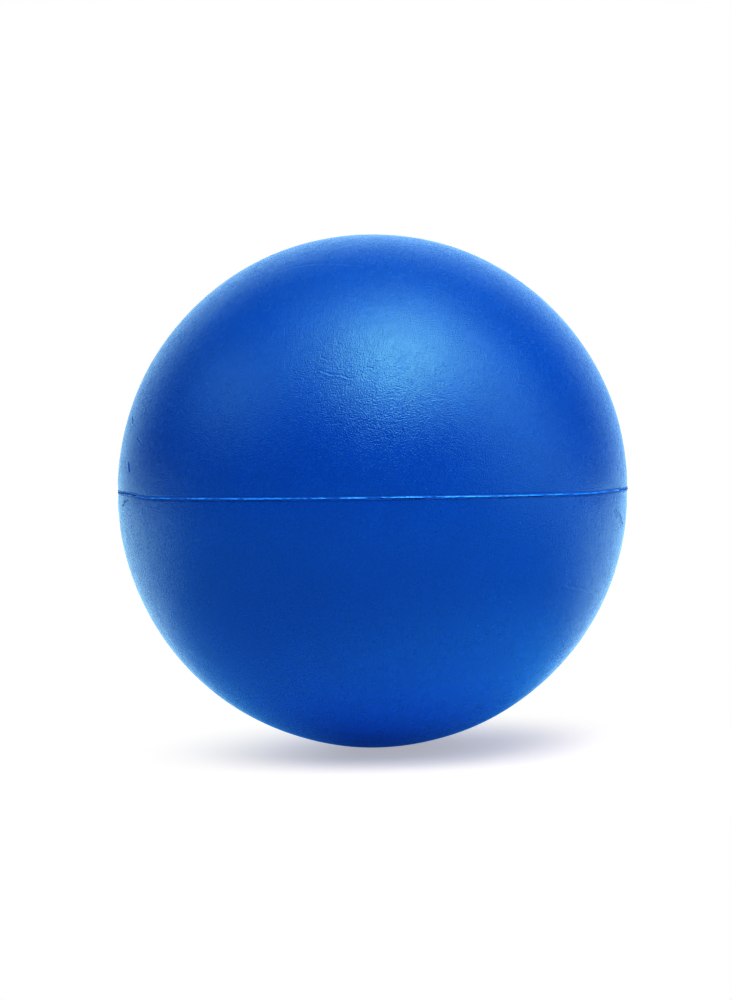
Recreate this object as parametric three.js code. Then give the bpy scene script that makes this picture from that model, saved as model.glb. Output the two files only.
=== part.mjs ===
// A croquet ball built as a composite ball: a pressed core of cork and nylon, held in a plastic
// cover that is moulded as two half shells. The shells register on each other with a tongue and
// a groove, and a thin weld ring closes the seam between their outer edges.
//
// Millimetres, +Z up. The origin is the centre of the ball, and the seam lies in the plane Z = 0.

import * as THREE from "three";
import { mergeVertices } from "three/addons/utils/BufferGeometryUtils.js";

// The ball. Each half is a true hemisphere, and the seam holds the two of them a little apart.
const BALL_DIAMETER = 92;
const COVER_THICKNESS = 8;
const SEAM_HEIGHT = 0.7;
const SEAM_EDGE_CHAMFER = 0.15;

// The joint between the halves, measured inwards from the surface of the ball.
const WELD_DEPTH = 2.2;
const TONGUE_WIDTH = 2.4;
const TONGUE_HEIGHT = 3;
const TONGUE_LEAD_IN = 0.5;
const CLEARANCE = 0.3;

// How finely the round shapes are divided.
const SEGMENTS_AROUND = 64;
const OUTER_STEPS = 14;
const INNER_STEPS = 10;

const OUTER_RADIUS = BALL_DIAMETER / 2;
const CAVITY_RADIUS = OUTER_RADIUS - COVER_THICKNESS;
const CORE_RADIUS = CAVITY_RADIUS - CLEARANCE;
const HALF_SEAM = SEAM_HEIGHT / 2;
const WELD_INNER_RADIUS = OUTER_RADIUS - WELD_DEPTH;
const TONGUE_OUTER_RADIUS = WELD_INNER_RADIUS - 2 * CLEARANCE;
const TONGUE_INNER_RADIUS = TONGUE_OUTER_RADIUS - TONGUE_WIDTH;
const QUARTER_TURN = Math.PI / 2;

/** Profile points on a quarter or half circle about a centre on the axis, both ends included. */
function arc(radius, centreHeight, fromLatitude, toLatitude, steps) {
  const points = [];
  for (let step = 0; step <= steps; step += 1) {
    const latitude = THREE.MathUtils.lerp(fromLatitude, toLatitude, step / steps);
    const distance = Math.abs(radius * Math.cos(latitude));
    points.push(new THREE.Vector2(distance, centreHeight + radius * Math.sin(latitude)));
  }
  return points;
}

/** A profile point: its distance from the axis, and its height. */
function point(distance, height) {
  return new THREE.Vector2(distance, height);
}

/** The named solid of revolution of a profile that runs upwards on its outer side. */
function turned(name, profile, material) {
  const geometry = new THREE.LatheGeometry(profile, SEGMENTS_AROUND);
  geometry.deleteAttribute("normal");
  geometry.deleteAttribute("uv");
  geometry.rotateX(QUARTER_TURN);
  const closed = mergeVertices(geometry);
  closed.computeVertexNormals();
  const mesh = new THREE.Mesh(closed, material);
  mesh.name = name;
  return mesh;
}

/** Satin plastic cover, blue right through. */
function coverMaterial() {
  return new THREE.MeshStandardMaterial({ color: 0x0b4bae, roughness: 0.5, metalness: 0 });
}

/** The paler blue of the trimmed weld, where the plastic was drawn and cut. */
function weldMaterial() {
  return new THREE.MeshStandardMaterial({ color: 0x2f86e6, roughness: 0.55, metalness: 0 });
}

/** Brown pressed composition of cork and nylon grains. */
function coreMaterial() {
  return new THREE.MeshStandardMaterial({ color: 0x8a6238, roughness: 0.9, metalness: 0 });
}

/**
 * The lower half of the cover. From the surface inwards, its rim has the land that the weld sits
 * on, the tongue, and a raised inner land that carries the upper half.
 */
function lowerHalfShell() {
  const profile = [
    ...arc(OUTER_RADIUS, -HALF_SEAM, -QUARTER_TURN, 0, OUTER_STEPS).slice(0, -1),
    point(OUTER_RADIUS, -HALF_SEAM - SEAM_EDGE_CHAMFER),
    point(OUTER_RADIUS - SEAM_EDGE_CHAMFER, -HALF_SEAM),
    point(TONGUE_OUTER_RADIUS, -HALF_SEAM),
    point(TONGUE_OUTER_RADIUS, TONGUE_HEIGHT - TONGUE_LEAD_IN),
    point(TONGUE_OUTER_RADIUS - TONGUE_LEAD_IN, TONGUE_HEIGHT),
    point(TONGUE_INNER_RADIUS + TONGUE_LEAD_IN, TONGUE_HEIGHT),
    point(TONGUE_INNER_RADIUS, TONGUE_HEIGHT - TONGUE_LEAD_IN),
    point(TONGUE_INNER_RADIUS, HALF_SEAM),
    point(CAVITY_RADIUS, HALF_SEAM),
    ...arc(CAVITY_RADIUS, -HALF_SEAM, 0, -QUARTER_TURN, INNER_STEPS),
  ];
  return turned("lower_half_shell", profile, coverMaterial());
}

/** The upper half of the cover, with the groove that goes over the tongue. */
function upperHalfShell() {
  const profile = [
    ...arc(CAVITY_RADIUS, HALF_SEAM, QUARTER_TURN, 0, INNER_STEPS),
    point(TONGUE_INNER_RADIUS - CLEARANCE, HALF_SEAM),
    point(TONGUE_INNER_RADIUS - CLEARANCE, TONGUE_HEIGHT + CLEARANCE),
    point(TONGUE_OUTER_RADIUS + CLEARANCE, TONGUE_HEIGHT + CLEARANCE),
    point(TONGUE_OUTER_RADIUS + CLEARANCE, HALF_SEAM),
    point(OUTER_RADIUS - SEAM_EDGE_CHAMFER, HALF_SEAM),
    point(OUTER_RADIUS, HALF_SEAM + SEAM_EDGE_CHAMFER),
    ...arc(OUTER_RADIUS, HALF_SEAM, 0, QUARTER_TURN, OUTER_STEPS).slice(1),
  ];
  return turned("upper_half_shell", profile, coverMaterial());
}

/** The ring of weld that fills the seam from the surface in to the clearance round the tongue. */
function seamWeldRing() {
  const profile = [
    point(WELD_INNER_RADIUS, -HALF_SEAM),
    point(OUTER_RADIUS, -HALF_SEAM),
    point(OUTER_RADIUS, HALF_SEAM),
    point(WELD_INNER_RADIUS, HALF_SEAM),
    point(WELD_INNER_RADIUS, -HALF_SEAM),
  ];
  return turned("seam_weld_ring", profile, weldMaterial());
}

/** The core, pressed between two dies that leave a narrow band where they met. */
function core() {
  const profile = [
    ...arc(CORE_RADIUS, -HALF_SEAM, -QUARTER_TURN, 0, INNER_STEPS),
    ...arc(CORE_RADIUS, HALF_SEAM, 0, QUARTER_TURN, INNER_STEPS),
  ];
  return turned("core", profile, coreMaterial());
}

const ball = new THREE.Group();
ball.add(core(), lowerHalfShell(), seamWeldRing(), upperHalfShell());

export default ball;
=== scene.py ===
"""A blue croquet ball on a white sweep: two moulded half shells, the weld between them, and the core.

Metres, +Z up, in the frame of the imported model. Azimuth 0 faces the camera (-Y) and 90 faces +X.
"""

import math
import random
from collections import namedtuple

import bmesh
import bpy
import numpy as np
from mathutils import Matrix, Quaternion, Vector, noise


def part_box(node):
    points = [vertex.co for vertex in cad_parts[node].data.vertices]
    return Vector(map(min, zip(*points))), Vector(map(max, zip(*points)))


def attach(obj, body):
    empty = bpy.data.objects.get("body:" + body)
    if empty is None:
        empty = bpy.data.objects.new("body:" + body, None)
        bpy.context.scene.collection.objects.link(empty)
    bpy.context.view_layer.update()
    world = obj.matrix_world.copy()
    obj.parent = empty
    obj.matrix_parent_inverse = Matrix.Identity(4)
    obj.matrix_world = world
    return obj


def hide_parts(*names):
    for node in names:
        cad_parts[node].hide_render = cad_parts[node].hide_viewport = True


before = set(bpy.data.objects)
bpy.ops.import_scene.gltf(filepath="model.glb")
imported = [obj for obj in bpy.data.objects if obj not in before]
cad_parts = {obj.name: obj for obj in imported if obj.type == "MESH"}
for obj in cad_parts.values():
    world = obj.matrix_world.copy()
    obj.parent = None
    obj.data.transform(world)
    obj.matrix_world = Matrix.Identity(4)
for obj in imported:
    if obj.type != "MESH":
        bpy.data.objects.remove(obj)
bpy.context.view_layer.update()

MM = 0.001

# Sizes that the frame gives.
SEAM_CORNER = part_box("seam_weld_ring")[1]
OUTER_RADIUS = SEAM_CORNER.x
HALF_SEAM = SEAM_CORNER.z
TONGUE_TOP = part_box("lower_half_shell")[1].z
CORE_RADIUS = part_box("core")[1].x
FLOOR_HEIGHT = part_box("lower_half_shell")[0].z

# Sizes of the joint between the shells, as in the CAD model.
CLEARANCE = 0.3 * MM
CAVITY_RADIUS = CORE_RADIUS + CLEARANCE
WELD_DEPTH = 2.2 * MM
TONGUE_WIDTH = 2.4 * MM
TONGUE_LEAD_IN = 0.5 * MM
WELD_INNER_RADIUS = OUTER_RADIUS - WELD_DEPTH
TONGUE_OUTER_RADIUS = WELD_INNER_RADIUS - 2 * CLEARANCE
TONGUE_INNER_RADIUS = TONGUE_OUTER_RADIUS - TONGUE_WIDTH

# How finely the surfaces are divided.
SKIN_SPACING = 0.85 * MM
SEAM_SPACING = 0.24 * MM
SEAM_FINE_BAND = 1.2 * MM
INSIDE_SPACING = 3 * MM
CREASE_SPACING = 0.13 * MM
WELD_SPACING = 0.2 * MM

# Edges that turn by more than these angles are drawn hard.
COVER_SHARP_ANGLE = math.radians(40)
WELD_SHARP_ANGLE = math.radians(50)
CORE_SHARP_ANGLE = math.radians(80)

# The rounded edge of each shell at the seam, and the shallow sink beside it.
LIP_RADIUS = 0.05 * MM
LIP_STEPS = 3
SINK_DEPTH = 0.05 * MM
SINK_WIDTH = 1.4 * MM
UPPER_SINK_SHARE = 0.3

# Slow unevenness of the moulded skin. An offset picks the part of the noise that is used.
SWELL_SIZE = 15 * MM
SWELL_HEIGHT = 0.07 * MM
SWELL_OFFSET = 1.3
RIPPLE_SIZE = 4.5 * MM
RIPPLE_HEIGHT = 0.014 * MM
RIPPLE_OFFSET = 7.9

# How far the seam wanders up or down on its way round, as (azimuth in degrees, height in mm).
SEAM_COURSE = (
    (-180, -0.05), (-130, 0.12), (-88, 0.3), (-65, 0.12), (-57, -0.33), (-38, -0.17), (-15, 0.03),
    (9, 0.2), (34, 0.16), (52, 0.16), (66, 0.36), (88, 0.4), (130, -0.1), (180, -0.05),
)
SEAM_COURSE_REACH = 4 * MM

# Stretches where the trimmed weld stands proud, in degrees. Between them it has sunk to a hairline.
RAISED_STRETCHES = ((-61, 68), (84, 128), (137, 213), (226, 271))

# Stretches where the trimming has torn the plastic under the bead, in degrees, and how deeply.
TORN_STRETCHES = ((1, 10), (27, 41), (150, 162), (240, 252))
TEAR_DEPTH = 0.22 * MM

# The degrees over which every stretch fades in and out.
STRETCH_FADE = 2.5

# The depth and width of the sunken hairline, and the finely divided face of the weld.
WELD_SINK = 0.4 * MM
HAIRLINE_WIDTH = 0.05 * MM
WELD_FACE_DEPTH = 0.5 * MM
WELD_FACE_STEPS = 18

# How far the weld wanders within the seam, and the share of it that is left where it stands proud.
JAG_HEIGHT = 0.2 * MM
JAG_SIZE = 0.8 * MM
JAG_OFFSET = 5.1
RAISED_JAG_SHARE = 0.25

# The section of the bead, as heights above the middle of the seam, and how far it stands out.
BEAD_TOP = 0.20 * MM
BEAD_CREST = -0.08 * MM
BEAD_FOOT = -0.17 * MM
BEAD_RISE = 0.13 * MM
BEAD_UNDERCUT = 0.09 * MM

# The bead's strength is this mean, changed by coarse patches and by fine roughness.
BEAD_MEAN = 0.75
PATCH_SHARE = 0.7
PATCH_SIZE = 3.5 * MM
PATCH_OFFSET = 8.4
ROUGH_SHARE = 0.5
ROUGH_SIZE = 0.7 * MM
ROUGH_OFFSET = 2.2
BEAD_STRENGTHS = (0.1, 1.4)

# Where the roughness passes through these ranges the plastic tears, and painted glints show as pale
# flecks beside the hairline.
TEAR_ROUGHNESS = (-0.1, 0.1)
GLINT_ROUGHNESS = (0.05, 0.3)
GLINT_DROP = 0.12 * MM
GLINT_HALF_WIDTH = 0.1 * MM

# The upper slope of the bead gets a painted highlight as its strength passes through this range.
PAINTED_LIGHT_STRENGTHS = (0.2, 1.0)
PAINTED_LIGHT_ATTRIBUTE = "pale"

# A crease: its points as (azimuth, latitude) in degrees, then its depth and its half width in mm.
Crease = namedtuple("Crease", "points depth width")
CREASES = (
    Crease(((-12.8, 26.8), (-9.5, 26.0), (-6.8, 25.6), (-3.6, 24.6)), 0.055, 0.17),
    Crease(((-10.2, 33.2), (-7.1, 32.8)), 0.05, 0.17),
    Crease(((-12.4, 29.9), (-10.2, 29.2)), 0.05, 0.17),
    Crease(((-3.6, 27.4), (0.6, 27.2)), 0.043, 0.17),
    Crease(((-7.4, 31.7), (-0.7, 31.1)), 0.029, 0.17),
    Crease(((-41.3, 55.0), (-31.9, 57.9), (-21.6, 58.8), (-8.6, 58.0), (2.1, 56.3)), 0.032, 0.35),
    Crease(((0.5, 21.0), (6.5, 20.3)), 0.025, 0.17),
    Crease(((9.0, 20.0), (17.0, 20.6)), 0.022, 0.17),
    Crease(((-73.5, 17.2), (-71.0, 15.9)), 0.10, 0.2),
    Crease(((-64.6, 12.4), (-61.4, 11.3)), 0.08, 0.2),
    Crease(((-68.3, 7.2), (-66.6, 4.8)), 0.10, 0.2),
    Crease(((-66.9, -1.1), (-70.0, -1.6), (-73.4, -2.9)), 0.15, 0.2),
    Crease(((65.4, -3.6), (70.5, -5.2), (76.3, -8.0)), 0.16, 0.24),
    Crease(((47.6, -19.2), (54.7, -20.6), (65.6, -21.9)), 0.085, 0.22),
)

# The faint creases of the sides that the camera doesn't face, in degrees and mm. The tilt and the
# bend of each are at most these shares of half its length.
FAINT_CREASES = 26
FAINT_AZIMUTHS = (85, 275)
FAINT_LATITUDES = (-62, 66)
FAINT_LENGTHS = (3, 11)
FAINT_DEPTHS = (0.03, 0.09)
FAINT_WIDTH = 0.2
FAINT_TILT = 0.5
FAINT_BEND = 0.3
FAINT_SEED = 4

# How far a crease wanders off its line, and the size and the offsets of the noise that moves it.
CREASE_WANDER = 0.16 * MM
CREASE_WANDER_SIZE = 1.3 * MM
CREASE_WANDER_OFFSETS = (3.1, 5.7, 9.2)

# A crease's raised shoulder as a share of its depth, its place and the crease's reach in half
# widths, and the share of the crease's length over which each end fades.
SHOULDER_HEIGHT = 0.45
SHOULDER_PLACE = 1.5
CREASE_REACH = 3.2
CREASE_END_FADE = 0.15

# The skin of the cover: slow clouds of colour, fine grain, pebbles over a coarser bump, and gloss.
CLOUD_SIZE = 9 * MM
CLOUD_RANGE = (0.3, 0.7)
GRAIN_SIZE = 0.32 * MM
GRAIN_RANGE = (0.36, 0.62)
PEBBLE_SIZE = 0.23 * MM
PEBBLE_HEIGHT = 0.078 * MM
COARSE_SIZE = 4 * PEBBLE_SIZE
COARSE_HEIGHT = 0.018 * MM
SATIN_SIZE = 2.2 * MM
SATIN_RANGE = (0.25, 0.75)
COVER_ROUGHNESS = (0.22, 0.29)
PLASTIC_IOR = 1.5
GLOSS_LEVEL = 0.9

# Pale specks, and dark spots of painted shade that stand for pinholes: how far apart they are, their
# radius, and their solid middle.
SPECK_SPACING = 5.5 * MM
SPECK_RADIUS = 0.17 * MM
PINHOLE_SPACING = 4.2 * MM
PINHOLE_RADIUS = 0.15 * MM
SPOT_MIDDLE = 0.6

# The surface of the weld.
STREAK_SIZE = 3.2 * MM
STREAK_RANGE = (0.35, 0.7)
WELD_GRAIN_SIZE = 0.5 * MM
WELD_GRAIN_RANGE = (0.5, 0.75)
WELD_GRAIN_SHARE = 0.6
WELD_GLOSS_RANGE = (0.3, 0.7)
WELD_ROUGHNESS = (0.4, 0.55)
WELD_BUMP_STRENGTH = 0.6
WELD_BUMP_HEIGHT = 0.04 * MM

# The pressed core, with granules that are smooth close to the band where its dies met.
CORE_SPACING = 1.25 * MM
GRANULE_SIZE = 2.6 * MM
GRANULE_DEPTH = 0.25 * MM
GRANULE_GAP = 0.35
SMOOTH_BAND = 2 * MM
CORK_SHADE_RANGE = (0.1, 0.9)
FLECK_SIZE = 0.7 * MM
FLECK_RANGE = (0.55, 0.8)
FLECK_SHARE = 0.6
CORE_GLOSS_RANGE = (0.3, 0.7)
CORE_ROUGHNESS = (0.75, 0.95)
CORE_BUMP_STRENGTH = 0.7
CORE_BUMP_HEIGHT = 0.15 * MM
NYLON_SPACING = 4 * MM
NYLON_RADIUS = 0.9 * MM

# Colours, linear.
COVER_BLUE = (0.0001, 0.103, 0.45, 1)
COVER_BLUE_DEEP = (0.0001, 0.094, 0.42, 1)
GRAIN_BLUE = (0.0001, 0.088, 0.405, 1)
SPECK_BLUE = (0.05, 0.26, 0.66, 1)
# Painted shade for pinholes, which have no geometry of their own.
PINHOLE_PAINTED_SHADE = (0.0004, 0.018, 0.11, 1)
# The weld's painted light: a painted highlight on the bead's upper slope, and painted glints beside the
# hairline.
WELD_PAINTED_LIGHT = (0.03, 0.32, 0.9, 1)
WELD_PAINTED_LIGHT_BRIGHT = (0.10, 0.46, 0.98, 1)
GLOSS_TINT = (0.58, 0.82, 0.57, 1)
CORK_TAN = (0.36, 0.19, 0.08, 1)
CORK_DARK = (0.11, 0.05, 0.02, 1)
NYLON_PALE = (0.62, 0.56, 0.44, 1)
PAPER_SEEN = (0.60, 0.39, 0.38, 1)
PAPER_GLOW = (0.535, 0.535, 0.535, 1)
WHITE = (1, 1, 1, 1)

# The sockets that a Mix node uses for colours.
MIX_FACTOR = 0
MIX_FIRST = 6
MIX_SECOND = 7
MIX_RESULT = 2

# The camera, which looks at the centre of the ball from a little above the seam.
CAMERA_DISTANCE = 0.40
CAMERA_ELEVATION = 1.6
CAMERA_ROLL = 0.3
CAMERA_LENS = 79.2
CAMERA_SHIFT = (-0.0067, -0.0092)
CAMERA_CLIP = (0.01, 50)
DISPLAY_GAMMA = 0.667

# Softboxes: azimuth, elevation, distance, width, height and power in watts.
Softbox = namedtuple("Softbox", "azimuth elevation distance width height power")
SOFTBOXES = {
    "key_over_camera": Softbox(13, 52, 1.0, 0.56, 0.52, 5.2),
    "key_over_left": Softbox(-20, 68, 1.0, 0.80, 0.70, 2.8),
    "key_high_right": Softbox(45, 70, 1.0, 0.70, 0.60, 3.3),
    "key_right": Softbox(62, 44, 1.0, 0.70, 0.60, 3.0),
    "side_right": Softbox(75, 12, 1.0, 0.80, 0.50, 1.5),
    "side_left": Softbox(-75, 35, 1.0, 0.80, 0.50, 1.6),
    "overhead": Softbox(0, 88, 1.0, 1.00, 1.00, 0.8),
}

# The colour of all the softboxes.
LAMP_COLOUR = (0.85, 1.18, 1.08)

# The light that the ball gets from its surroundings, blue-green as its rims are in the photograph.
# The backdrop starts to fade and ends at these angles from straight behind the ball. The light of
# the sweep turns from the front one to the one behind between these places in Y.
STRAIGHT_BEHIND = (0, 1, 0)
BACKDROP_LIGHT = (1.05, 1.55, 1.75, 1)
BACKDROP_EDGE = (30, 56)
AMBIENT_LIGHT = (0.03, 0.11, 0.13, 1)
PAPER_BOUNCE = (0.30, 0.75, 0.90, 1)
PAPER_LIGHT = (0.03, 0.16, 0.32, 1)
SWEEP_LIGHT_IN_FRONT = (0.26, 0.85, 1.22, 1)
SWEEP_LIGHT_BEHIND = (1.25, 1.85, 2.0, 1)
SWEEP_TURN = (-10 * MM, 60 * MM)

# The floor catches the shadow close to the ball, and farther out it is plain white. The shadow is
# left longer to the right of the ball, as it is in the photograph.
FLOOR_RADIUS = 6.0
SHADOW_CENTRE = (20 * MM, -18 * MM, FLOOR_HEIGHT)
FLOOR_FADE = (22 * MM, 66 * MM)
FLOOR_SIDES = 96


# --- Meshes of revolution ------------------------------------------------------------------------


def arc(radius, centre_height, from_latitude, to_latitude, spacing):
    """Profile points (distance from the axis, height) along an arc about a centre on the axis."""
    steps = max(2, round(radius * abs(to_latitude - from_latitude) / spacing))
    latitudes = np.linspace(from_latitude, to_latitude, steps + 1)
    return [(radius * math.cos(a), centre_height + radius * math.sin(a)) for a in latitudes]


def skin_arc(side):
    """The outer profile of one hemisphere, from the seam to the pole, finer beside the seam."""
    fine_latitude = SEAM_FINE_BAND / OUTER_RADIUS
    centre_height = side * HALF_SEAM
    start = side * LIP_RADIUS / OUTER_RADIUS
    middle = side * fine_latitude
    fine = arc(OUTER_RADIUS, centre_height, start, middle, SEAM_SPACING)
    coarse = arc(OUTER_RADIUS, centre_height, middle, side * math.pi / 2, SKIN_SPACING)
    return fine + coarse[1:]


def lip(side):
    """The rounded edge from the seam face out to the skin of one hemisphere."""
    points = []
    for step in range(LIP_STEPS):
        angle = math.pi / 2 * step / LIP_STEPS
        distance = OUTER_RADIUS - LIP_RADIUS * (1 - math.sin(angle))
        height = HALF_SEAM + LIP_RADIUS * (1 - math.cos(angle))
        points.append((distance, side * height))
    return points


def ring_points(mesh, distance, height, spacing):
    """The vertices of one ring, as many as keep their spacing, or a single one on the axis."""
    count = round(2 * math.pi * distance / spacing)
    if count < 3:
        return [mesh.verts.new((0, 0, height))]
    angles = [2 * math.pi * index / count for index in range(count)]
    return [mesh.verts.new((distance * math.cos(a), distance * math.sin(a), height)) for a in angles]


def join_rings(mesh, first, second):
    """Triangles between two rings, which may differ in how many vertices they have."""
    at_first = 0
    at_second = 0
    while at_first < len(first) or at_second < len(second):
        next_first = (at_first + 1) / len(first)
        next_second = (at_second + 1) / len(second)
        corner_a = first[at_first % len(first)]
        corner_b = second[at_second % len(second)]
        if at_second == len(second) or (at_first < len(first) and next_first <= next_second):
            at_first += 1
            corner_c = first[at_first % len(first)]
        else:
            at_second += 1
            corner_c = second[at_second % len(second)]
        if len({corner_a, corner_b, corner_c}) == 3:
            mesh.faces.new((corner_a, corner_b, corner_c))


def turned(profile, spacing_at, closed):
    """A bmesh of revolution of a profile, each ring divided as finely as spacing_at says."""
    mesh = bmesh.new()
    rings = [ring_points(mesh, d, h, spacing_at(d, h)) for d, h in profile]
    for lower, upper in zip(rings, rings[1:]):
        join_rings(mesh, lower, upper)
    if closed:
        join_rings(mesh, rings[-1], rings[0])
    bmesh.ops.recalc_face_normals(mesh, faces=mesh.faces)
    return mesh


def shell_spacing(distance, height):
    """Fine at the visible edge of the seam, coarse inside, even over the skin."""
    centre_height = math.copysign(HALF_SEAM, height)
    outside = math.hypot(distance, height - centre_height) > OUTER_RADIUS - LIP_RADIUS
    if outside and abs(height) < HALF_SEAM + SEAM_FINE_BAND:
        return SEAM_SPACING
    return SKIN_SPACING if outside else INSIDE_SPACING


def weld_spacing(distance, height):
    """The same all over the weld."""
    return WELD_SPACING


def core_spacing(distance, height):
    """The same all over the core."""
    return CORE_SPACING


# --- Displacement --------------------------------------------------------------------------------


def positions(mesh):
    """The vertices of a bmesh as an array."""
    return np.array([vertex.co[:] for vertex in mesh.verts])


def move_to(mesh, places):
    """Puts the vertices of a bmesh at the given places."""
    for vertex, place in zip(mesh.verts, places):
        vertex.co = place


def outward(places):
    """Unit directions from the centre of the hemisphere that each place belongs to."""
    arms = places.copy()
    arms[:, 2] -= np.copysign(HALF_SEAM, places[:, 2])
    return arms / np.linalg.norm(arms, axis=1, keepdims=True)


def on_skin(places):
    """Which places lie on the outer skin, rather than inside the joint or the cavity."""
    arms = places.copy()
    arms[:, 2] -= np.copysign(HALF_SEAM, places[:, 2])
    return np.linalg.norm(arms, axis=1) > OUTER_RADIUS - LIP_RADIUS / 2


def azimuths(places):
    """Azimuth in degrees, 0 towards the camera and 90 towards +X."""
    return np.degrees(np.arctan2(places[:, 0], -places[:, 1]))


def direction(azimuth, latitude):
    """The unit vector at an azimuth and a latitude in degrees."""
    around = math.radians(azimuth)
    up = math.radians(latitude)
    return Vector((math.sin(around) * math.cos(up), -math.cos(around) * math.cos(up), math.sin(up)))


def noise_at(places, size, offset=0.0):
    """Smooth noise from -1 to 1 with features about as large as size."""
    shift = Vector((offset, -offset, 2 * offset))
    return np.array([noise.noise(Vector(place) / size + shift) for place in places])


def smoothstep(values, low, high):
    """0 below low, 1 above high, and smooth between them."""
    share = np.clip((values - low) / (high - low), 0, 1)
    return share * share * (3 - 2 * share)


def seam_height_offset(places):
    """How far the wandering seam lifts each place: fully at the seam, and not at all far from it."""
    stations = np.array(SEAM_COURSE, float)
    around = azimuths(places)
    course = np.interp(around, stations[:, 0], stations[:, 1]) * MM
    return course * np.exp(-((places[:, 2] / SEAM_COURSE_REACH) ** 2))


def crease_line(crease):
    """The points of a crease on the skin, in metres."""
    return [np.array(direction(azimuth, latitude)) * OUTER_RADIUS for azimuth, latitude in crease.points]


def crease_frame(places, crease):
    """For each place, its distance to a crease, its side of it, and how far along it lies (0 to 1)."""
    line = crease_line(crease)
    lengths = [np.linalg.norm(b - a) for a, b in zip(line, line[1:])]
    total = sum(lengths)
    nearest = np.full(len(places), np.inf)
    side = np.zeros(len(places))
    along = np.zeros(len(places))
    travelled = 0.0
    for start, end, length in zip(line, line[1:], lengths):
        step = (end - start) / length
        reach = (places - start) @ step
        foot = start + np.clip(reach, 0, length)[:, None] * step
        gap = places - foot
        distance = np.linalg.norm(gap, axis=1)
        closer = distance < nearest
        across = np.cross(step, start / OUTER_RADIUS)
        nearest[closer] = distance[closer]
        side[closer] = (gap @ across)[closer]
        along[closer] = (travelled + np.clip(reach, 0, length)[closer]) / total
        travelled += length
    return nearest, side, along


def faint_creases():
    """Short creases scattered over the sides and the back, the same ones on every run."""
    draw = random.Random(FAINT_SEED)
    creases = []
    for _ in range(FAINT_CREASES):
        azimuth = draw.uniform(*FAINT_AZIMUTHS)
        latitude = draw.uniform(*FAINT_LATITUDES)
        length = draw.uniform(*FAINT_LENGTHS)
        tilt = draw.uniform(-FAINT_TILT, FAINT_TILT)
        depth = draw.uniform(*FAINT_DEPTHS)
        half_turn = math.degrees(length * MM / OUTER_RADIUS / 2)
        stretch = half_turn / math.cos(math.radians(latitude))
        bend = draw.uniform(-FAINT_BEND, FAINT_BEND) * half_turn
        points = (
            (azimuth - stretch, latitude - tilt * half_turn),
            (azimuth, latitude + bend),
            (azimuth + stretch, latitude + tilt * half_turn),
        )
        creases.append(Crease(points, depth, FAINT_WIDTH))
    return creases


def crease_reach(crease):
    """How far from its line a crease can change the skin."""
    return CREASE_REACH * crease.width * MM + CREASE_WANDER


def near_crease(places, crease):
    """Which places are close enough to a crease for it to reach them."""
    line = np.array(crease_line(crease))
    centre = line.mean(0)
    radius = np.linalg.norm(line - centre, axis=1).max() + crease_reach(crease)
    return np.linalg.norm(places - centre, axis=1) < radius


def refine_near_creases(mesh, creases):
    """Divides the skin along every crease, halving its edges until they can carry the crease."""
    halvings = math.ceil(math.log2(SKIN_SPACING / CREASE_SPACING)) + 1
    for _ in range(halvings):
        mesh.edges.ensure_lookup_table()
        ends = np.array([[vertex.co[:] for vertex in edge.verts] for edge in mesh.edges])
        middles = ends.mean(1)
        long = np.linalg.norm(ends[:, 0] - ends[:, 1], axis=1) > CREASE_SPACING
        skin = on_skin(middles) & on_skin(ends[:, 0]) & on_skin(ends[:, 1])
        wanted = np.zeros(len(middles), bool)
        for crease in creases:
            close = np.flatnonzero(long & skin & near_crease(middles, crease))
            if len(close):
                distance = crease_frame(middles[close], crease)[0]
                lengths = np.linalg.norm(ends[close, 0] - ends[close, 1], axis=1)
                wanted[close] |= (distance < crease_reach(crease)) | (distance < lengths)
        chosen = [mesh.edges[index] for index in np.flatnonzero(wanted)]
        made = bmesh.ops.subdivide_edges(mesh, edges=chosen, cuts=1)
        for element in made["geom_inner"]:
            if isinstance(element, bmesh.types.BMVert):
                place = np.array(element.co[:])[None]
                centre = np.array((0, 0, math.copysign(HALF_SEAM, element.co.z)))
                element.co = centre + outward(place)[0] * OUTER_RADIUS
        many_sided = [face for face in mesh.faces if len(face.verts) > 3]
        bmesh.ops.triangulate(mesh, faces=many_sided)


def crease_heights(places, creases):
    """The height of the creased skin: a furrow along each crease with one raised shoulder."""
    heights = np.zeros(len(places))
    for crease in creases:
        close = np.flatnonzero(near_crease(places, crease))
        if not len(close):
            continue
        reached = places[close]
        wander = [noise_at(reached, CREASE_WANDER_SIZE, offset) for offset in CREASE_WANDER_OFFSETS]
        wandered = reached + np.stack(wander, 1) * CREASE_WANDER
        distance, side, along = crease_frame(wandered, crease)
        width = crease.width * MM
        start = smoothstep(along, 0.0, CREASE_END_FADE)
        ends = start * (1 - smoothstep(along, 1 - CREASE_END_FADE, 1.0))
        tip = np.exp(-((np.maximum(distance - np.abs(side), 0) / width) ** 2))
        furrow = -np.exp(-((side / width) ** 2))
        shoulder = SHOULDER_HEIGHT * np.exp(-(((side - SHOULDER_PLACE * width) / width) ** 2))
        heights[close] += crease.depth * MM * (furrow + shoulder) * ends * tip
    return heights


def skin_heights(places, creases):
    """How far the moulded skin stands out from a true sphere."""
    swell = SWELL_HEIGHT * noise_at(places, SWELL_SIZE, SWELL_OFFSET)
    ripple = RIPPLE_HEIGHT * noise_at(places, RIPPLE_SIZE, RIPPLE_OFFSET)
    from_seam = np.abs(places[:, 2]) - HALF_SEAM
    sink_share = np.where(places[:, 2] < 0, 1.0, UPPER_SINK_SHARE)
    sink = -SINK_DEPTH * np.exp(-((from_seam / SINK_WIDTH) ** 2)) * sink_share
    away = smoothstep(from_seam, 0.0, SINK_WIDTH)
    return (swell + ripple) * away + sink + crease_heights(places, creases)


# --- The pieces ----------------------------------------------------------------------------------


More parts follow.
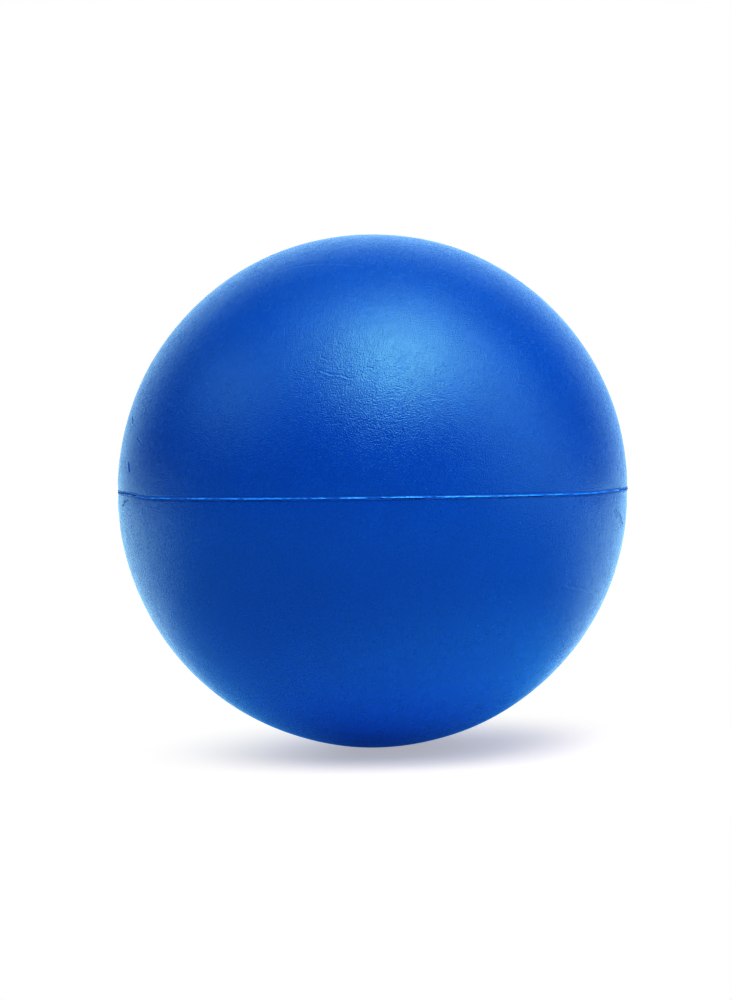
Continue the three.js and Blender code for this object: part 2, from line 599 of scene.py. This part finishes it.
def finished(name, mesh, material, sharp_angle):
    """Turns a bmesh into an object with smooth shading, hard only at edges past sharp_angle."""
    for face in mesh.faces:
        face.smooth = True
    for edge in mesh.edges:
        if edge.is_manifold:
            edge.smooth = edge.calc_face_angle() < sharp_angle
    data = bpy.data.meshes.new(name)
    mesh.to_mesh(data)
    mesh.free()
    data.materials.append(material)
    piece = bpy.data.objects.new(name, data)
    bpy.context.collection.objects.link(piece)
    return piece


def upper_profile():
    """The upper half shell, from the top of its cavity round the groove to the pole."""
    cavity = arc(CAVITY_RADIUS, HALF_SEAM, math.pi / 2, 0, INSIDE_SPACING)
    groove = [
        (TONGUE_INNER_RADIUS - CLEARANCE, HALF_SEAM),
        (TONGUE_INNER_RADIUS - CLEARANCE, TONGUE_TOP + CLEARANCE),
        (TONGUE_OUTER_RADIUS + CLEARANCE, TONGUE_TOP + CLEARANCE),
        (TONGUE_OUTER_RADIUS + CLEARANCE, HALF_SEAM),
    ]
    return cavity + groove + lip(1) + skin_arc(1)


def lower_profile():
    """The lower half shell, from the pole up to its tongue and down its cavity."""
    tongue = [
        (TONGUE_OUTER_RADIUS, -HALF_SEAM),
        (TONGUE_OUTER_RADIUS, TONGUE_TOP - TONGUE_LEAD_IN),
        (TONGUE_OUTER_RADIUS - TONGUE_LEAD_IN, TONGUE_TOP),
        (TONGUE_INNER_RADIUS + TONGUE_LEAD_IN, TONGUE_TOP),
        (TONGUE_INNER_RADIUS, TONGUE_TOP - TONGUE_LEAD_IN),
        (TONGUE_INNER_RADIUS, HALF_SEAM),
        (CAVITY_RADIUS, HALF_SEAM),
    ]
    cavity = arc(CAVITY_RADIUS, -HALF_SEAM, 0, -math.pi / 2, INSIDE_SPACING)
    return list(reversed(skin_arc(-1))) + list(reversed(lip(-1))) + tongue + cavity


def half_shell(name, profile, creases, material):
    """One half of the cover, with its creases and the unevenness of its skin."""
    mesh = turned(profile, shell_spacing, closed=False)
    refine_near_creases(mesh, creases)
    places = positions(mesh)
    skin = on_skin(places)
    heights = np.zeros(len(places))
    heights[skin] = skin_heights(places[skin], creases)
    moved = places + outward(places) * heights[:, None]
    moved[:, 2] += seam_height_offset(places)
    move_to(mesh, moved)
    return finished(name, mesh, material, COVER_SHARP_ANGLE)


def share_of_stretches(around, stretches):
    """1 at the azimuths inside the stretches and 0 outside them, with a short fade at each end."""
    share = np.zeros(len(around))
    for start, end in stretches:
        for turn in (-360, 0, 360):
            inside = smoothstep(around, start + turn - STRETCH_FADE, start + turn)
            before_end = 1 - smoothstep(around, end + turn, end + turn + STRETCH_FADE)
            share = np.maximum(share, inside * before_end)
    return share


def weld_profile():
    """The section of the weld: square inside the seam, and finely divided where it shows."""
    behind_face = OUTER_RADIUS - WELD_FACE_DEPTH
    floor_side = [(WELD_INNER_RADIUS, -HALF_SEAM), (behind_face, -HALF_SEAM)]
    heights = np.linspace(-HALF_SEAM, HALF_SEAM, WELD_FACE_STEPS + 1)
    face = [(OUTER_RADIUS, height) for height in heights]
    roof_side = [(behind_face, HALF_SEAM), (WELD_INNER_RADIUS, HALF_SEAM)]
    return floor_side + face + roof_side


def undercut(height):
    """The narrow groove under the foot of the bead: 1 at its bottom, and 0 away from it."""
    return np.exp(-(((height - BEAD_FOOT) / HAIRLINE_WIDTH) ** 2))


def bead_height(height):
    """How far the raised bead stands out at a height in the seam: a slope turned up, then a lip."""
    slope = smoothstep(-height, -BEAD_TOP, -BEAD_CREST)
    below = smoothstep(-height, -BEAD_CREST, -BEAD_FOOT)
    return BEAD_RISE * slope * (1 - below) - BEAD_UNDERCUT * undercut(height)


def painted_weld_light(raised, strength, rough, height):
    """Painted light on the weld: a painted highlight on the upper slope of a strong bead, and painted
    glints as pale flecks beside the hairline.
    """
    slope = smoothstep(-height, -BEAD_TOP, -BEAD_CREST / 2)
    slope *= 1 - smoothstep(-height, -BEAD_CREST, -BEAD_FOOT)
    bead = raised * smoothstep(strength, *PAINTED_LIGHT_STRENGTHS) * slope
    under_hairline = np.abs(height + GLINT_DROP) < GLINT_HALF_WIDTH
    # Pale flecks under the hairline are painted glints.
    flecks = (1 - raised) * smoothstep(rough, *GLINT_ROUGHNESS) * under_hairline
    return np.clip(bead + flecks, 0, 1)


def seam_weld(material):
    """The ring of weld: a trimmed bead in places, a torn hairline in others."""
    mesh = turned(weld_profile(), weld_spacing, closed=True)
    places = positions(mesh)
    distance = np.hypot(places[:, 0], places[:, 1])
    flat = places[:, :2] / distance[:, None]
    rim = np.column_stack([flat * OUTER_RADIUS, np.zeros(len(places))])
    around = azimuths(places)
    raised = share_of_stretches(around, RAISED_STRETCHES)
    torn = share_of_stretches(around, TORN_STRETCHES)
    rough = noise_at(rim, ROUGH_SIZE, ROUGH_OFFSET)
    patchy = noise_at(rim, PATCH_SIZE, PATCH_OFFSET)
    jag_share = np.where(raised > 0.5, RAISED_JAG_SHARE, 1.0)
    jag = noise_at(rim, JAG_SIZE, JAG_OFFSET) * jag_share * JAG_HEIGHT
    height = places[:, 2] + jag
    strength = np.clip(BEAD_MEAN + PATCH_SHARE * patchy + ROUGH_SHARE * rough, *BEAD_STRENGTHS)
    bead = bead_height(height) * strength
    hairline = -WELD_SINK * np.exp(-((height / HAIRLINE_WIDTH) ** 2))
    tear = -TEAR_DEPTH * torn * smoothstep(rough, *TEAR_ROUGHNESS) * undercut(height)
    growth = raised * (bead + tear) + (1 - raised) * hairline
    face = distance > OUTER_RADIUS - WELD_FACE_DEPTH / 2
    places[:, :2] += flat * (growth * face)[:, None]
    places[:, 2] += seam_height_offset(places)
    move_to(mesh, places)
    # The weld's painted highlight and painted glints, kept on the mesh for its material.
    pale = painted_weld_light(raised, strength, rough, height) * face
    piece = finished("seam_weld", mesh, material, WELD_SHARP_ANGLE)
    attribute = piece.data.attributes.new(PAINTED_LIGHT_ATTRIBUTE, "FLOAT", "POINT")
    attribute.data.foreach_set("value", pale.astype(np.float32))
    return piece


def pressed_core(material):
    """The core: granules pressed into a ball, with the band where the dies met left smooth."""
    profile = arc(CORE_RADIUS, -HALF_SEAM, -math.pi / 2, 0, CORE_SPACING)
    profile += arc(CORE_RADIUS, HALF_SEAM, 0, math.pi / 2, CORE_SPACING)
    mesh = turned(profile, core_spacing, closed=False)
    places = positions(mesh)
    depths = np.array([granule_depth(place) for place in places])
    pressed = smoothstep(np.abs(places[:, 2]), HALF_SEAM, HALF_SEAM + SMOOTH_BAND)
    places -= outward(places) * (depths * pressed)[:, None]
    move_to(mesh, places)
    return finished("core_pressed", mesh, material, CORE_SHARP_ANGLE)


def granule_depth(place):
    """The depth of the gap between granules at a place on the core."""
    distances = noise.voronoi(Vector(place) / GRANULE_SIZE)[0]
    gap = min(1.0, (distances[1] - distances[0]) / GRANULE_GAP)
    return GRANULE_DEPTH * (1 - gap)


# --- Materials -----------------------------------------------------------------------------------


def node(tree, kind, inputs=None, **settings):
    """Adds a node with its settings, and sets or links its inputs."""
    made = tree.nodes.new(kind)
    for name, value in settings.items():
        setattr(made, name, value)
    for socket, value in (inputs or {}).items():
        if isinstance(value, bpy.types.NodeSocket):
            tree.links.new(value, made.inputs[socket])
        else:
            made.inputs[socket].default_value = value
    return made


def new_material(name):
    """An empty material, its node tree, its Principled shader and its object coordinates."""
    material = bpy.data.materials.new(name)
    material.use_nodes = True
    tree = material.node_tree
    shader = tree.nodes["Principled BSDF"]
    coordinates = node(tree, "ShaderNodeTexCoord").outputs["Object"]
    return material, tree, shader, coordinates


def noise_field(tree, coordinates, size, detail=2.0, roughness=0.5):
    """A noise texture with features of a given size, from 0 to 1."""
    inputs = {"Vector": coordinates, "Scale": 1 / size, "Detail": detail, "Roughness": roughness}
    return node(tree, "ShaderNodeTexNoise", inputs).outputs["Fac"]


def remap(tree, value, from_low, from_high, to_low, to_high):
    """Maps a value from one range to another, clamped and smooth."""
    inputs = {
        "Value": value,
        "From Min": from_low,
        "From Max": from_high,
        "To Min": to_low,
        "To Max": to_high,
    }
    return node(tree, "ShaderNodeMapRange", inputs, interpolation_type="SMOOTHSTEP").outputs["Result"]


def blend_colours(tree, factor, first, second):
    """Mixes two colours by a factor."""
    inputs = {MIX_FACTOR: factor, MIX_FIRST: first, MIX_SECOND: second}
    return node(tree, "ShaderNodeMix", inputs, data_type="RGBA").outputs[MIX_RESULT]


def spots(tree, coordinates, spacing, radius):
    """Small round spots scattered at random: 1 inside a spot and 0 outside."""
    inputs = {"Vector": coordinates, "Scale": 1 / spacing, "Randomness": 1.0}
    distance = node(tree, "ShaderNodeTexVoronoi", inputs).outputs["Distance"]
    return remap(tree, distance, SPOT_MIDDLE * radius / spacing, radius / spacing, 1.0, 0.0)


def bump(tree, height, strength, distance, normal=None):
    """A bump of a given height in metres, on top of another one if there is one."""
    inputs = {"Height": height, "Strength": strength, "Distance": distance}
    if normal:
        inputs["Normal"] = normal
    return node(tree, "ShaderNodeBump", inputs).outputs["Normal"]


def satin_plastic(shader):
    """Settings that both the cover and the weld share, uniform over the surface."""
    shader.inputs["IOR"].default_value = PLASTIC_IOR
    shader.inputs["Specular IOR Level"].default_value = GLOSS_LEVEL
    shader.inputs["Specular Tint"].default_value = GLOSS_TINT


def cover_material():
    """Blue moulded plastic: pebbled and satin, with a few pale specks, and dark spots of painted shade
    for pinholes.
    """
    material, tree, shader, coordinates = new_material("cover_blue")
    clouds = noise_field(tree, coordinates, CLOUD_SIZE, detail=3.0)
    clouds = remap(tree, clouds, *CLOUD_RANGE, 0.0, 1.0)
    grain = noise_field(tree, coordinates, GRAIN_SIZE, detail=2.0, roughness=0.6)
    grain = remap(tree, grain, *GRAIN_RANGE, 1.0, 0.0)
    base = blend_colours(tree, clouds, COVER_BLUE_DEEP, COVER_BLUE)
    base = blend_colours(tree, grain, base, GRAIN_BLUE)
    speck = spots(tree, coordinates, SPECK_SPACING, SPECK_RADIUS)
    pinhole_shade = spots(tree, coordinates, PINHOLE_SPACING, PINHOLE_RADIUS)
    base = blend_colours(tree, speck, base, SPECK_BLUE)
    # Pinholes are painted as dark spots of shade.
    base = blend_colours(tree, pinhole_shade, base, PINHOLE_PAINTED_SHADE)
    tree.links.new(base, shader.inputs["Base Color"])
    satin = noise_field(tree, coordinates, SATIN_SIZE, detail=3.0)
    tree.links.new(remap(tree, satin, *SATIN_RANGE, *COVER_ROUGHNESS), shader.inputs["Roughness"])
    pebble = noise_field(tree, coordinates, PEBBLE_SIZE, detail=1.0)
    coarse = noise_field(tree, coordinates, COARSE_SIZE, detail=2.0)
    normal = bump(tree, coarse, 1.0, COARSE_HEIGHT)
    normal = bump(tree, pebble, 1.0, PEBBLE_HEIGHT, normal)
    tree.links.new(normal, shader.inputs["Normal"])
    satin_plastic(shader)
    return material


def weld_material():
    """The same plastic, paler as painted light on the bead's upward slope and in painted glints beside
    the hairline, and streaked along the seam.
    """
    material, tree, shader, coordinates = new_material("weld_blue")
    streaks = noise_field(tree, coordinates, STREAK_SIZE, detail=4.0)
    streaks = remap(tree, streaks, *STREAK_RANGE, 0.0, 1.0)
    grain = noise_field(tree, coordinates, WELD_GRAIN_SIZE, detail=2.0)
    dull = remap(tree, grain, *WELD_GRAIN_RANGE, 0.0, WELD_GRAIN_SHARE)
    # Where the weld mesh carries painted light: the bead's upper slope and the glints beside the
    # hairline.
    painted_light = node(tree, "ShaderNodeAttribute", attribute_name=PAINTED_LIGHT_ATTRIBUTE).outputs["Fac"]
    pale = blend_colours(tree, streaks, WELD_PAINTED_LIGHT, WELD_PAINTED_LIGHT_BRIGHT)
    pale = blend_colours(tree, dull, pale, COVER_BLUE)
    base = blend_colours(tree, painted_light, COVER_BLUE, pale)
    tree.links.new(base, shader.inputs["Base Color"])
    roughness = remap(tree, grain, *WELD_GLOSS_RANGE, *WELD_ROUGHNESS)
    tree.links.new(roughness, shader.inputs["Roughness"])
    normal = bump(tree, grain, WELD_BUMP_STRENGTH, WELD_BUMP_HEIGHT)
    tree.links.new(normal, shader.inputs["Normal"])
    satin_plastic(shader)
    return material


def core_material():
    """Pressed cork granules with pale grains of nylon between them."""
    material, tree, shader, coordinates = new_material("cork_and_nylon")
    inputs = {"Vector": coordinates, "Scale": 1 / GRANULE_SIZE}
    granules = node(tree, "ShaderNodeTexVoronoi", inputs).outputs["Color"]
    shade = node(tree, "ShaderNodeSeparateColor", {"Color": granules}).outputs["Red"]
    shade = remap(tree, shade, *CORK_SHADE_RANGE, 0.0, 1.0)
    base = blend_colours(tree, shade, CORK_DARK, CORK_TAN)
    flecks = noise_field(tree, coordinates, FLECK_SIZE, detail=3.0)
    dark = remap(tree, flecks, *FLECK_RANGE, 0.0, FLECK_SHARE)
    base = blend_colours(tree, dark, base, CORK_DARK)
    nylon = spots(tree, coordinates, NYLON_SPACING, NYLON_RADIUS)
    base = blend_colours(tree, nylon, base, NYLON_PALE)
    tree.links.new(base, shader.inputs["Base Color"])
    roughness = remap(tree, flecks, *CORE_GLOSS_RANGE, *CORE_ROUGHNESS)
    tree.links.new(roughness, shader.inputs["Roughness"])
    normal = bump(tree, flecks, CORE_BUMP_STRENGTH, CORE_BUMP_HEIGHT)
    tree.links.new(normal, shader.inputs["Normal"])
    return material


def floor_material():
    """White paper close to the ball, which turns into plain light farther out.

    The camera sees the far floor as white and the shadow lifted, as a picture with a whitened
    background has them. The ball is lit by the same paper without the lift, and by the sweep.
    """
    material = bpy.data.materials.new("white_sweep")
    material.use_nodes = True
    tree = material.node_tree
    tree.nodes.clear()
    place = node(tree, "ShaderNodeNewGeometry").outputs["Position"]
    ends = {0: place, 1: SHADOW_CENTRE}
    far = node(tree, "ShaderNodeVectorMath", ends, operation="DISTANCE").outputs["Value"]
    camera_ray = node(tree, "ShaderNodeLightPath").outputs["Is Camera Ray"]
    bounce = node(tree, "ShaderNodeBsdfDiffuse", {"Color": PAPER_BOUNCE})
    spill = node(tree, "ShaderNodeEmission", {"Color": PAPER_LIGHT})
    paper = node(tree, "ShaderNodeAddShader", {0: bounce.outputs[0], 1: spill.outputs[0]})
    seen_paper = node(tree, "ShaderNodeBsdfDiffuse", {"Color": PAPER_SEEN})
    lift = node(tree, "ShaderNodeEmission", {"Color": PAPER_GLOW})
    lifted = node(tree, "ShaderNodeAddShader", {0: seen_paper.outputs[0], 1: lift.outputs[0]})
    close = node(tree, "ShaderNodeMixShader", {0: camera_ray, 1: paper.outputs[0], 2: lifted.outputs[0]})
    depth = node(tree, "ShaderNodeSeparateXYZ", {"Vector": place}).outputs["Y"]
    behind = remap(tree, depth, *SWEEP_TURN, 0.0, 1.0)
    sweep = blend_colours(tree, behind, SWEEP_LIGHT_IN_FRONT, SWEEP_LIGHT_BEHIND)
    glow = node(tree, "ShaderNodeEmission", {"Color": blend_colours(tree, camera_ray, sweep, WHITE)})
    shaders = {0: remap(tree, far, *FLOOR_FADE, 0.0, 1.0), 1: close.outputs[0], 2: glow.outputs[0]}
    mixed = node(tree, "ShaderNodeMixShader", shaders)
    node(tree, "ShaderNodeOutputMaterial", {"Surface": mixed.outputs[0]})
    return material


# --- The stage -----------------------------------------------------------------------------------


def add_floor():
    """A wide round floor under the ball."""
    mesh = bmesh.new()
    bmesh.ops.create_circle(mesh, cap_ends=True, radius=FLOOR_RADIUS, segments=FLOOR_SIDES)
    bmesh.ops.translate(mesh, vec=(0, 0, FLOOR_HEIGHT), verts=mesh.verts)
    floor = finished("floor", mesh, floor_material(), math.pi)


def add_softbox(name, box):
    """A soft area light, aimed at the ball and hidden from the camera."""
    data = bpy.data.lights.new(name, "AREA")
    data.shape = "RECTANGLE"
    data.size = box.width
    data.size_y = box.height
    data.energy = box.power
    data.color = LAMP_COLOUR
    light = bpy.data.objects.new(name, data)
    bpy.context.collection.objects.link(light)
    towards = direction(box.azimuth, box.elevation)
    light.location = towards * box.distance
    light.rotation_mode = "QUATERNION"
    light.rotation_quaternion = (-towards).to_track_quat("-Z", "Y")
    light.visible_camera = False


def surround_light(tree):
    """The light from each direction: a bright backdrop behind the ball, and little elsewhere."""
    facing = node(tree, "ShaderNodeTexCoord").outputs["Generated"]
    inner, outer = (math.cos(math.radians(angle)) for angle in BACKDROP_EDGE)
    inputs = {0: facing, 1: STRAIGHT_BEHIND}
    aligned = node(tree, "ShaderNodeVectorMath", inputs, operation="DOT_PRODUCT").outputs["Value"]
    share = remap(tree, aligned, outer, inner, 0.0, 1.0)
    return blend_colours(tree, share, AMBIENT_LIGHT, BACKDROP_LIGHT)


def add_surround():
    """A world that the camera sees as white, and that lights the ball from behind."""
    world = bpy.data.worlds.new("surround")
    world.use_nodes = True
    bpy.context.scene.world = world
    tree = world.node_tree
    tree.nodes.clear()
    camera_ray = node(tree, "ShaderNodeLightPath").outputs["Is Camera Ray"]
    colour = blend_colours(tree, camera_ray, surround_light(tree), WHITE)
    background = node(tree, "ShaderNodeBackground", {"Color": colour, "Strength": 1.0})
    node(tree, "ShaderNodeOutputWorld", {"Surface": background.outputs[0]})


def add_camera():
    """The camera, level with the seam but for a degree or two, and rolled by a hair."""
    data = bpy.data.cameras.new("camera")
    data.lens = CAMERA_LENS
    data.shift_x, data.shift_y = CAMERA_SHIFT
    data.clip_start, data.clip_end = CAMERA_CLIP
    camera = bpy.data.objects.new("camera", data)
    bpy.context.collection.objects.link(camera)
    back = direction(0, CAMERA_ELEVATION)
    camera.location = back * CAMERA_DISTANCE
    upright = (-back).to_track_quat("-Z", "Y")
    roll = Quaternion((0, 0, 1), -math.radians(CAMERA_ROLL))
    camera.rotation_mode = "QUATERNION"
    camera.rotation_quaternion = upright @ roll
    bpy.context.scene.camera = camera


def place_piece(piece, cad_node):
    """Hangs a piece on the ball's body and hides the CAD node that it stands for."""
    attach(piece, "root")
    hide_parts(cad_node)


add_camera()
add_floor()
add_surround()
for softbox_name, softbox in SOFTBOXES.items():
    add_softbox(softbox_name, softbox)
bpy.context.scene.view_settings.view_transform = "Standard"
bpy.context.scene.view_settings.gamma = DISPLAY_GAMMA

blue = cover_material()
all_creases = list(CREASES) + faint_creases()
above = [crease for crease in all_creases if crease.points[0][1] > 0]
below = [crease for crease in all_creases if crease.points[0][1] <= 0]
place_piece(half_shell("cover_upper", upper_profile(), above, blue), "upper_half_shell")
place_piece(half_shell("cover_lower", lower_profile(), below, blue), "lower_half_shell")
place_piece(seam_weld(weld_material()), "seam_weld_ring")
place_piece(pressed_core(core_material()), "core")
